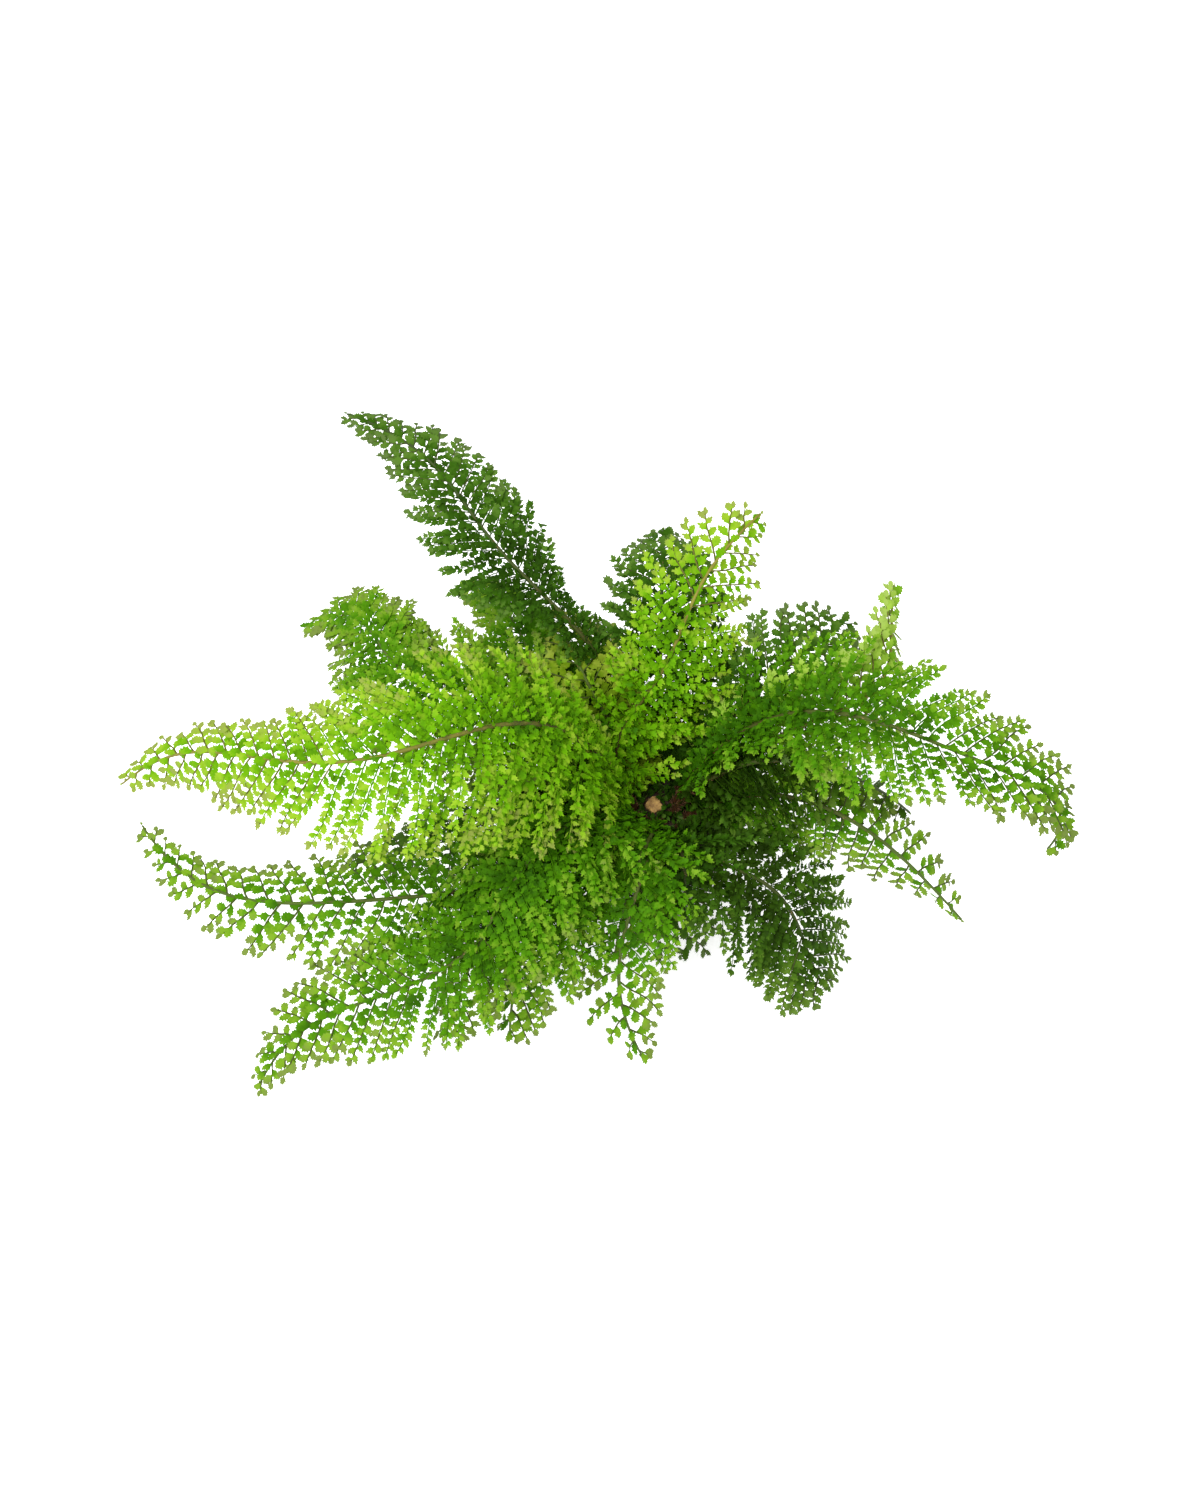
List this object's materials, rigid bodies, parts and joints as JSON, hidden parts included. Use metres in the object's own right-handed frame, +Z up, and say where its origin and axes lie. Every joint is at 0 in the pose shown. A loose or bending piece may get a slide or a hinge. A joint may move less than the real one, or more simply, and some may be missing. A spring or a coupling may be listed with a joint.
{
  "type": "potted fern",
  "caption": "Soft shield fern: arching, twice-cut fronds on scaly stalks from a woody crown, growing in a filled round nursery pot.",
  "frame": {"origin": "centre of the pot's underside, on the surface it stands on", "axes": "+Z up, -Y towards the camera (the front), +X right; the longest frond pair spreads along X"},
  "size_m": [0.5786, 0.3915, 0.3094],
  "materials": {
    "pot_plastic": "dark brown-black moulded plastic, slightly dull",
    "soil": "dark crumbly potting soil",
    "rootstock": "rough red-brown woody crown",
    "frond_bright": "young yellow-green leaf, soft satin",
    "frond_green": "mid-green leaf, soft satin",
    "frond_dark": "older dark green leaf, satin"
  },
  "bodies": {
    "root": {"pot": "pot_plastic", "soil": "soil", "crown": "rootstock", "frond_01": "frond_bright", "frond_02": "frond_bright", "frond_03": "frond_green", "frond_04": "frond_dark", "frond_05": "frond_green", "frond_06": "frond_green", "frond_07": "frond_green", "frond_08": "frond_green", "frond_09": "frond_green", "frond_10": "frond_green", "frond_11": "frond_dark", "frond_12": "frond_green", "frond_13": "frond_green", "frond_14": "frond_bright", "frond_15": "frond_green", "frond_16": "frond_green", "frond_17": "frond_dark", "frond_18": "frond_dark", "frond_19": "frond_green", "frond_20": "frond_dark", "frond_21": "frond_dark"}
  },
  "joints": []
}
